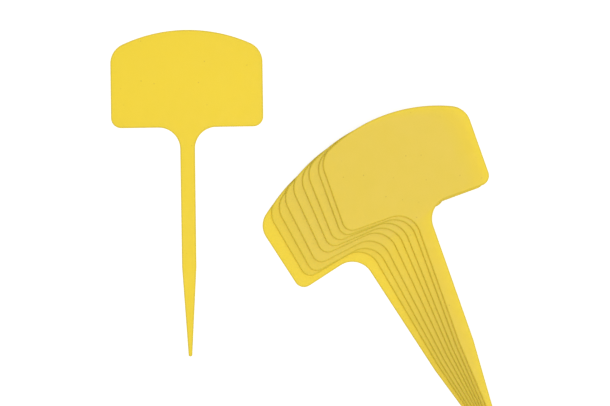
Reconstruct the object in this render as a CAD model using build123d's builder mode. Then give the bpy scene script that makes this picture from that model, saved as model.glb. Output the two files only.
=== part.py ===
from build123d import *
import os
from math import asin, atan2, cos, hypot, radians, sin

# Ten plant label stakes, each moulded in one piece of yellow plastic.
# One lies by itself and nine lie on each other, fanned like cards with their points together.
# Lengths are in millimetres and angles in degrees. Z is up and the table is at zero.

# The head that is written on
head_width = 65.2
head_height = 41.7
crown_rise = 8.6
top_corner_radius = 8.9
lower_corner_radius = 4.3

# The stake that is pushed into the soil
label_length = 140.0
shoulder_radius = 9.3
stem_width_at_head = 6.3
stem_width_at_point = 6.1
point_length = 38.4
tip_radius = 0.75

# The plate that both are moulded in
thickness = 1.0
upper_edge_break = 0.25
lower_edge_break = 0.12

# The label that lies by itself, beside the lowest label of the fan
single_lean = 0.8
fan_right_of_single = 127.9
fan_below_single = 36.7

# The fan, from its lowest label to its top one
stack_gap = 0.05
fan_leans = [33.0, 30.5, 28.8, 27.2, 25.1, 23.3, 21.9, 20.1, 19.5]
creep_right = 1.8
creep_up = 7.8
creep_right_shares = [0.0, -0.2, 0.08, 0.02, -0.1, 0.1, 0.22, 0.57, 1.0]
creep_up_shares = [0.0, 0.2, 0.2, 0.42, 0.62, 0.7, 0.83, 0.85, 1.0]

# The outline's own Y axis runs up the stake, from the centre of the rounded tip
crown_top = label_length - tip_radius
crown_foot = crown_top - crown_rise
head_low = crown_top - head_height
point_start = point_length - tip_radius
half_head = head_width / 2
half_stem_at_head = stem_width_at_head / 2
half_stem_at_point = stem_width_at_point / 2

# The point's sides touch the tip's circle, and would meet below it
tip_reach = hypot(half_stem_at_point, point_start)
point_half_angle = atan2(half_stem_at_point, point_start) - asin(tip_radius / tip_reach)
point_apex = -tip_radius / sin(point_half_angle)

# The outline that every label shares
with BuildSketch() as blank:
    with BuildLine():
        ThreePointArc((-half_head, crown_foot), (0, crown_top), (half_head, crown_foot))
        right_side = Polyline(
            (half_head, crown_foot),
            (half_head, head_low),
            (half_stem_at_head, head_low),
            (half_stem_at_point, point_start),
            (0, point_apex),
        )
        mirror(right_side, about=Plane.YZ)
    make_face()
    underside = blank.vertices().group_by(Axis.Y)[-2].sort_by(Axis.X)
    fillet(underside[1:-1], shoulder_radius)
    underside = blank.vertices().group_by(Axis.Y)[-2].sort_by(Axis.X)
    fillet([underside[0], underside[-1]], lower_corner_radius)
    fillet(blank.vertices().group_by(Axis.Y)[-1], top_corner_radius)
    fillet(blank.vertices().group_by(Axis.Y)[0], tip_radius)


def lay(right, up, level, lean):
    """The plane that a label's underside lies on, its Y axis leaning to the left."""
    return Plane((right, up, level), x_dir=(cos(radians(lean)), sin(radians(lean)), 0))


# Where each label lies, with the single label's tip for a start
spots = {"single_label": lay(0, 0, 0, single_lean)}
for place, lean in enumerate(fan_leans):
    spots[f"fan_label_{place + 1}"] = lay(
        fan_right_of_single + creep_right * creep_right_shares[place],
        creep_up * creep_up_shares[place] - fan_below_single,
        place * (thickness + stack_gap),
        lean,
    )

# The whole set's middle on the table becomes the origin
spread = Compound([blank.sketch.moved(spot.location) for spot in spots.values()]).bounding_box()
middle = Vector(spread.center().X, spread.center().Y, 0)

os.makedirs("parts", exist_ok=True)

for name, spot in spots.items():
    with BuildPart() as label:
        with BuildSketch(Plane(spot.origin - middle, x_dir=spot.x_dir)):
            add(blank.sketch)
        extrude(amount=thickness)
        chamfer(label.edges().group_by(Axis.Z)[-1], upper_edge_break)
        chamfer(label.edges().group_by(Axis.Z)[0], lower_edge_break)
    label.part.label = name
    export_step(label.part, f"parts/{name}.step")
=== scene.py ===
import bpy
from math import asin, atan2, cos, hypot, pi, radians, sin, sqrt, tan
import numpy as np
from mathutils import Matrix, Vector
from mathutils.geometry import delaunay_2d_cdt


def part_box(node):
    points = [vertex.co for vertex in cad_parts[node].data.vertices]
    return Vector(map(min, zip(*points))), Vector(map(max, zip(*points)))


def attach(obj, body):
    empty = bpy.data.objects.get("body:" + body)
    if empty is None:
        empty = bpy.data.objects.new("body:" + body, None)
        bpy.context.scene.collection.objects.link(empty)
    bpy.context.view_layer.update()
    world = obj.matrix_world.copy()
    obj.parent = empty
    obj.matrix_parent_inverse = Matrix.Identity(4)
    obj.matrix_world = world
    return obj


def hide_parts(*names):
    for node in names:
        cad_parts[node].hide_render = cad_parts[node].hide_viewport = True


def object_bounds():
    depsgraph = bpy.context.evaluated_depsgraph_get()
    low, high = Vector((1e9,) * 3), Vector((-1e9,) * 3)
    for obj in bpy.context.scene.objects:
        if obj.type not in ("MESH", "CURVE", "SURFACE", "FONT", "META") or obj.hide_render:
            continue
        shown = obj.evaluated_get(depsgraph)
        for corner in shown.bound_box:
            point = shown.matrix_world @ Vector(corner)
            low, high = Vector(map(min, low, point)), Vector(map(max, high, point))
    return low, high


# Ten plant labels on a white table: one by itself, and nine fanned on each other.
# Lengths are in metres and angles in radians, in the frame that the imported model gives.
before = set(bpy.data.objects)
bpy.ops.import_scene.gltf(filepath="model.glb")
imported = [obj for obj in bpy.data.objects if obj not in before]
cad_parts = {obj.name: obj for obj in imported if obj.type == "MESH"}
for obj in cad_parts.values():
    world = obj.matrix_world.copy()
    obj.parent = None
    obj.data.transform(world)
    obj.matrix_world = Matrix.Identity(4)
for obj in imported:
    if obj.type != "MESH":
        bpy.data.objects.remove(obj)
cad_low, cad_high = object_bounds()


# The view. The picture was taken from straight above, from about half a metre, so the
# top of the stack looks a little larger than the label that lies on the table.
camera_height = 0.509
camera_right = 0.00104
camera_up = 0.01415
table_width_in_view = 0.26175
sensor_millimetres = 36

camera = bpy.data.objects.new("camera", bpy.data.cameras.new("camera"))
camera.location = (camera_right, camera_up, camera_height)
camera.data.sensor_width = sensor_millimetres
camera.data.lens = sensor_millimetres * camera_height / table_width_in_view
bpy.context.scene.collection.objects.link(camera)
bpy.context.scene.camera = camera
bpy.context.scene.view_settings.view_transform = "Standard"


# The light. One wide softbox hangs nearly straight above the table, a little to the right
# and below, in a white studio that lights it evenly from all sides.
# A white card under both looks as white as their shares add up to.
studio_share = 0.42
softbox_share = 0.75
softbox_place = Vector((0.45, -0.15, 2.6))
softbox_distance = softbox_place.length
softbox_width = 2.2

world = bpy.data.worlds.new("white studio")
world.use_nodes = True
world.node_tree.nodes["Background"].inputs["Color"].default_value = (1, 1, 1, 1)
world.node_tree.nodes["Background"].inputs["Strength"].default_value = studio_share
bpy.context.scene.world = world

softbox = bpy.data.objects.new("softbox", bpy.data.lights.new("softbox", "AREA"))
softbox.data.shape = "SQUARE"
softbox.data.size = softbox_width
# The power that gives the table this share grows with the lamp's distance and its slant.
softbox.data.energy = softbox_share * (pi * softbox_distance) ** 2 * softbox_distance / softbox_place.z
softbox.location = softbox_place
softbox.rotation_euler = softbox_place.to_track_quat("Z", "Y").to_euler()
bpy.context.scene.collection.objects.link(softbox)


# The table. A sheet of white card, which the picture shows as plain white, so most of what
# the eye sees of it is its own white, and the rest keeps the labels' faint shadow.
table_width = 6.0
table_gap = 0.00002
card_white = (0.95, 0.95, 0.95, 1)
shadowed_white = (0.32, 0.32, 0.32, 1)
own_white = 0.78


def put_node(tree, kind, values=None, **settings):
    """A node with its settings made and its sockets set, or linked where a socket is given."""
    node = tree.nodes.new("ShaderNode" + kind)
    for name, setting in settings.items():
        setattr(node, name, setting)
    for name, value in (values or {}).items():
        if isinstance(value, bpy.types.NodeSocket):
            tree.links.new(value, node.inputs[name])
        else:
            node.inputs[name].default_value = value
    return node


def white_card():
    """Card that lights the labels as white card does, and that a lens or a gloss sees as white."""
    material = bpy.data.materials.new("white card")
    material.use_nodes = True
    tree = material.node_tree
    tree.nodes.clear()
    ray = put_node(tree, "LightPath").outputs
    rays = {0: ray["Is Camera Ray"], 1: ray["Is Glossy Ray"]}
    seen = put_node(tree, "Math", rays, operation="ADD")
    rays = {0: seen.outputs[0], 1: ray["Is Transmission Ray"]}
    seen = put_node(tree, "Math", rays, operation="ADD", use_clamp=True)
    plain = put_node(tree, "BsdfDiffuse", {"Color": card_white})
    shaded = put_node(tree, "BsdfDiffuse", {"Color": shadowed_white})
    white = put_node(tree, "Emission", {"Strength": own_white})
    shown = put_node(tree, "AddShader", {0: shaded.outputs[0], 1: white.outputs[0]})
    card = put_node(tree, "MixShader", {0: seen.outputs[0], 1: plain.outputs[0], 2: shown.outputs[0]})
    put_node(tree, "OutputMaterial", {"Surface": card.outputs[0]})
    return material


bpy.ops.mesh.primitive_plane_add(size=table_width, location=(0, 0, cad_low.z - table_gap))
table = bpy.context.object
table.name = "table"
table.data.materials.append(white_card())


# The labels. Each is one injection moulding in yellow polypropylene: a head with a curved
# top, two shoulders, a stake and a point, in one flat plate a millimetre thick. Nothing
# fixes one to the next, and their rounded edges come from the mould.
head_width = 0.0652
head_height = 0.0417
crown_rise = 0.0086
top_corner_radius = 0.0089
lower_corner_radius = 0.0043
label_length = 0.140
shoulder_radius = 0.0093
stem_width_at_head = 0.0063
stem_width_at_point = 0.0061
point_length = 0.0384
tip_radius = 0.00075
thickness = 0.001
upper_edge_radius = 0.00048
lower_edge_radius = 0.00012
edge_steps = 5
edge_fade_width = 0.00025
step_along_arc = 0.0006
steps_at_least = 12
net_step = 0.0015
net_tolerance = 0.0000001

crown_top = label_length - tip_radius
head_low = crown_top - head_height
half_head = head_width / 2
half_stem = stem_width_at_point / 2
point_start = point_length - tip_radius


def arc(centre, radius, start, end):
    """Points along an arc, each with its outward direction. A hollow arc has a negative radius."""
    steps = max(steps_at_least, round(abs(radius * (end - start)) / step_along_arc))
    turns = np.linspace(start, end, steps + 1)
    ways = np.stack([np.cos(turns), np.sin(turns)], axis=1)
    outwards = ways if radius > 0 else -ways
    return [(np.array(centre) + abs(radius) * way, out) for way, out in zip(ways, outwards)]


def right_outline():
    """The outline's right half, from the tip up to the crown, of arcs that straight edges join."""
    point_turn = atan2(half_stem, point_start) - asin(tip_radius / hypot(half_stem, point_start))
    stem_turn = atan2((stem_width_at_head - stem_width_at_point) / 2, head_low - point_start)
    corner_turn = -(point_turn + stem_turn) / 2
    corner = np.array([half_stem, point_start])
    corner_out = np.array([cos(corner_turn), sin(corner_turn)])

    shoulder_low = head_low - shoulder_radius
    stem_there = half_stem + (shoulder_low - point_start) * tan(stem_turn)
    shoulder = (stem_there + shoulder_radius / cos(stem_turn), shoulder_low)
    lower_corner = (half_head - lower_corner_radius, head_low + lower_corner_radius)

    crown_radius = (half_head ** 2 + crown_rise ** 2) / (2 * crown_rise)
    crown_centre = crown_top - crown_radius
    top_corner_side = half_head - top_corner_radius
    top_corner_up = sqrt((crown_radius - top_corner_radius) ** 2 - top_corner_side ** 2)
    top_corner = (top_corner_side, crown_centre + top_corner_up)
    crown_turn = atan2(top_corner_up, top_corner_side)

    points = arc((0, 0), tip_radius, -pi / 2, -point_turn)
    points.append((corner, corner_out))
    points += arc(shoulder, -shoulder_radius, pi - stem_turn, pi / 2)
    points += arc(lower_corner, lower_corner_radius, -pi / 2, 0)
    points += arc(top_corner, top_corner_radius, 0, crown_turn)
    points += arc((0, crown_centre), crown_radius, crown_turn, pi / 2)[1:]
    return points


def whole_outline():
    """The outline once around from the tip: its points, each with its outward direction."""
    right = right_outline()
    left = [(point * (-1, 1), out * (-1, 1)) for point, out in right[-2:0:-1]]
    return right + left


def edge_profile():
    """The plate's edge, from underside to upper face: each ring's inset, height, tilt and share of
    painted edge shade.
    """
    lower = []
    upper = []
    for turn in np.linspace(0, pi / 2, edge_steps + 1):
        inwards = 1 - cos(turn)
        outwards = 1 - sin(turn)
        lower.append((lower_edge_radius * inwards, lower_edge_radius * outwards, -turn, 1))
        upper.append((upper_edge_radius * inwards, thickness - upper_edge_radius * outwards, turn, 1))
    face_below = [(lower_edge_radius + edge_fade_width, 0, -pi / 2, 0)]
    face_above = [(upper_edge_radius + edge_fade_width, thickness, pi / 2, 0)]
    return face_below + lower[::-1] + upper + face_above


def depth_inside(points, outline):
    """How far each point lies inside a closed outline, and less than zero outside it."""
    spans = np.roll(outline, -1, axis=0) - outline
    away = points[:, None] - outline
    shares = np.clip((away * spans).sum(axis=2) / (spans ** 2).sum(axis=1), 0, 1)
    distances = np.linalg.norm(away - shares[:, :, None] * spans, axis=2)
    nearest = distances.argmin(axis=1)
    each = np.arange(len(points))
    span = spans[nearest]
    offset = away[each, nearest]
    side = np.sign(span[:, 0] * offset[:, 1] - span[:, 1] * offset[:, 0])
    return side * distances[each, nearest]


def net_inside(outline):
    """Points of a square net that lie inside an outline, clear of it."""
    across = np.arange(-half_head, half_head, net_step)
    up = np.arange(0, crown_top, net_step)
    net = np.stack(np.meshgrid(across, up), axis=2).reshape(-1, 2)
    return net[depth_inside(net, outline) > net_step / 2]


def mark_points(mesh, mark, values):
    """Gives each point of a mesh a value that the plastic's colour follows."""
    mesh.attributes.new(mark, "FLOAT", "POINT").data.foreach_set("value", values)


def label_mesh():
    """One moulding, with its tip's centre at zero and its stake along the Y axis."""
    outline = whole_outline()
    count = len(outline)
    vertices = []
    normals = []
    edge_shade_shares = []
    up_label = []
    for inset, height, tilt, share in edge_profile():
        for point, out in outline:
            vertices.append((*(point - inset * out), height))
            normals.append((*(out * cos(tilt)), sin(tilt)))
            edge_shade_shares.append(share)
            up_label.append(point[1])
    top_ring = len(vertices) - count
    faces = [tuple(range(count))[::-1]]
    for low in range(0, top_ring, count):
        for place in range(count):
            beside = (place + 1) % count
            faces.append((low + place, low + beside, low + count + beside, low + count + place))

    # A net fills the upper face, so that its shade can change from place to place.
    inner = np.array([vertex[:2] for vertex in vertices[top_ring:]])
    net = net_inside(inner)
    for point in net:
        vertices.append((*point, thickness))
        normals.append((0, 0, 1))
        edge_shade_shares.append(0)
        up_label.append(point[1])
    corners = [Vector(point) for point in np.concatenate([inner, net])]
    upper_face = delaunay_2d_cdt(corners, [], [range(count)], 1, net_tolerance)[2]
    faces += [[top_ring + corner for corner in face] for face in upper_face]

    mesh = bpy.data.meshes.new("label")
    mesh.from_pydata(vertices, [], faces)
    mesh.shade_smooth()
    mesh.normals_split_custom_set_from_vertices(normals)
    # Each point carries how much of the painted edge shade it takes.
    mark_points(mesh, "edge_shade_share", edge_shade_shares)
    mark_points(mesh, "up_label", up_label)
    return mesh


# The plastic lets some light through, so it looks brighter on white card than on a stack.
# Its yellow is also painted deeper wherever few labels lie beneath it: painted light, for the
# card's light that comes up through it. Light leaks out of the narrow stakes' sides, so the
# covered ones are painted darker towards their points: a painted shade.
deep_yellow = (0.985, 0.805, 0.029, 1)
pale_yellow = (0.985, 0.788, 0.086, 1)
# Painted shade: the covered labels' stakes are painted towards this darker yellow near their points.
stake_shade_yellow = (0.80, 0.595, 0.022, 1)
uncovered_labels = ["single_label", "fan_label_9"]
stake_shade_length = 0.078
light_through = 0.35
labels_below_when_pale = 3
count_at_edge = 0.5
edge_blur = 0.003
pattern_shift = (1, 1, 0)
flow_yellow = (0.955, 0.765, 0.040, 1)
flow_length = 0.020
flow_detail = 3
flow_strength = 0.5
speck_brown = (0.60, 0.42, 0.03, 1)
speck_spacing = 0.009
speck_radius = 0.00035
speck_strength = 0.45
faintest_speck = 0.55
deepest_speck = 0.85
# Painted shade: the rounded edges are painted towards this darker yellow, for the shade that falls on
# them.
edge_shade_yellow = (0.80, 0.66, 0.03, 1)
edge_shade_strength = 0.45
scuff_length = 0.004
scuff_detail = 4
smoothest = 0.42
roughest = 0.58
grain_size = 0.00025
grain_detail = 2
grain_depth = 0.00001
wave_length = 0.016
wave_detail = 1
wave_depth = 0.00006
mix_share = 0
mix_first_colour = 6
mix_second_colour = 7
mixed_colour = 2


def yellow_polypropylene():
    """Satin yellow plastic: a fine mould grain, faint flow marks, small specks, and edges painted darker
    as painted shade.
    """
    material = bpy.data.materials.new("yellow polypropylene")
    material.use_nodes = True
    tree = material.node_tree
    shader = tree.nodes["Principled BSDF"]

    def blend(share, first, second):
        """A colour between two, by a share."""
        sockets = {mix_share: share, mix_first_colour: first, mix_second_colour: second}
        return put_node(tree, "Mix", sockets, data_type="RGBA").outputs[mixed_colour]

    def share_between(value, low, high, at_low, at_high):
        """A value that goes from one end to the other while another does."""
        limits = {"From Min": low, "From Max": high, "To Min": at_low, "To Max": at_high}
        return put_node(tree, "MapRange", {"Value": value, **limits}).outputs[0]

    def mark(name, carrier="GEOMETRY"):
        """A value that the mesh or the label carries under a name."""
        return put_node(tree, "Attribute", attribute_type=carrier, attribute_name=name).outputs["Fac"]

    def patches(length, detail):
        """Soft random patches of about this length."""
        sockets = {"Vector": place, "Scale": 1 / length, "Detail": detail}
        return put_node(tree, "TexNoise", sockets).outputs[0]

    # Each label's pattern is moved by a random share of the shift, so no two look alike.
    own = put_node(tree, "TexCoord").outputs["Object"]
    each = put_node(tree, "ObjectInfo").outputs["Random"]
    apart = put_node(tree, "VectorMath", {0: pattern_shift, "Scale": each}, operation="SCALE").outputs[0]
    place = put_node(tree, "VectorMath", {0: own, 1: apart}, operation="ADD").outputs[0]

    # Painted light: the count of labels beneath sets how pale the yellow is painted, in place of the
    # card's light coming up through it.
    painted_stack_paleness = share_between(mark("labels_below"), 0, labels_below_when_pale, 0, 1)
    colour = blend(painted_stack_paleness, deep_yellow, pale_yellow)
    # Painted shade on the covered stakes, strongest at their points.
    covered = mark("covered", "OBJECT")
    painted_stake_shade = share_between(mark("up_label"), 0, stake_shade_length, covered, 0)
    colour = blend(painted_stake_shade, colour, stake_shade_yellow)
    flow = share_between(patches(flow_length, flow_detail), 0, 1, 0, flow_strength)
    colour = blend(flow, colour, flow_yellow)

    sockets = {"Vector": place, "Scale": 1 / speck_spacing}
    specks = put_node(tree, "TexVoronoi", sockets, voronoi_dimensions="2D").outputs
    half_size = speck_radius / speck_spacing
    depth = share_between(specks["Color"], faintest_speck, deepest_speck, 0, speck_strength)
    speck = share_between(specks["Distance"], half_size / 2, half_size, depth, 0)
    colour = blend(speck, colour, speck_brown)
    # Painted shade along the edges.
    edge = share_between(mark("edge_shade_share"), 0, 1, 0, edge_shade_strength)
    colour = blend(edge, colour, edge_shade_yellow)
    tree.links.new(colour, shader.inputs["Base Color"])

    scuffs = share_between(patches(scuff_length, scuff_detail), 0, 1, smoothest, roughest)
    tree.links.new(scuffs, shader.inputs["Roughness"])
    grain = patches(grain_size, grain_detail)
    waves = patches(wave_length, wave_detail)
    grained = put_node(tree, "Bump", {"Height": grain, "Distance": grain_depth}).outputs[0]
    sockets = {"Height": waves, "Distance": wave_depth, "Normal": grained}
    waved = put_node(tree, "Bump", sockets).outputs[0]
    tree.links.new(waved, shader.inputs["Normal"])

    glow = put_node(tree, "BsdfTranslucent", {"Color": colour})
    sockets = {0: light_through, 1: shader.outputs[0], 2: glow.outputs[0]}
    plastic = put_node(tree, "MixShader", sockets)
    tree.links.new(plastic.outputs[0], tree.nodes["Material Output"].inputs["Surface"])
    return material


level_within = radians(1)


def place_of(name):
    """Where a CAD label lies: the matrix that takes a label from its own axes to its place."""
    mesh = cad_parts[name].data
    area = 0
    first_moment = np.zeros(2)
    second_moment = np.zeros((2, 2))
    # A triangle's first moment is a third of its area times the sum of its corners, and its
    # second moment a twelfth of its area times their squares and the square of their sum.
    for face in mesh.polygons:
        if face.normal.z > cos(level_within):
            corners = np.array([mesh.vertices[index].co[:2] for index in face.vertices])
            total = corners.sum(axis=0)
            area += face.area
            first_moment += face.area * total / 3
            second_moment += face.area * (corners.T @ corners + np.outer(total, total)) / 12
    middle = first_moment / area
    # A label's area spreads widest along its stake, and reaches furthest at its tip.
    spreads, directions = np.linalg.eigh(second_moment / area - np.outer(middle, middle))
    up_stake = directions[:, spreads.argmax()]
    along = (np.array([vertex.co[:2] for vertex in mesh.vertices]) - middle) @ up_stake
    if along.max() > -along.min():
        along = -along
        up_stake = -up_stake
    tip = middle + up_stake * (along.min() + tip_radius)
    turn = Matrix.Rotation(atan2(-up_stake[0], up_stake[1]), 4, "Z")
    return Matrix.Translation((*tip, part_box(name)[0].z)) @ turn


plate = label_mesh()
plate.materials.append(yellow_polypropylene())
places = {name: place_of(name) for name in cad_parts}


def labels_below(name):
    """How many labels lie beneath each point of a label, with a soft change at their edges."""
    outline = np.array([point for point, out in whole_outline()])
    below = np.zeros(len(plate.vertices))
    for place in places.values():
        if place.translation.z < places[name].translation.z:
            shift = place.inverted() @ places[name]
            points = np.array([(shift @ vertex.co)[:2] for vertex in plate.vertices])
            below += np.clip(count_at_edge + depth_inside(points, outline) / edge_blur, 0, 1)
    return below


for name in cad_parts:
    moulding = plate.copy()
    mark_points(moulding, "labels_below", labels_below(name))
    moulding.transform(places[name])
    piece = bpy.data.objects.new(name + "_moulding", moulding)
    bpy.context.scene.collection.objects.link(piece)
    # A covered label takes the painted stake shade.
    piece["covered"] = float(name not in uncovered_labels)
    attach(piece, name)
    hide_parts(name)
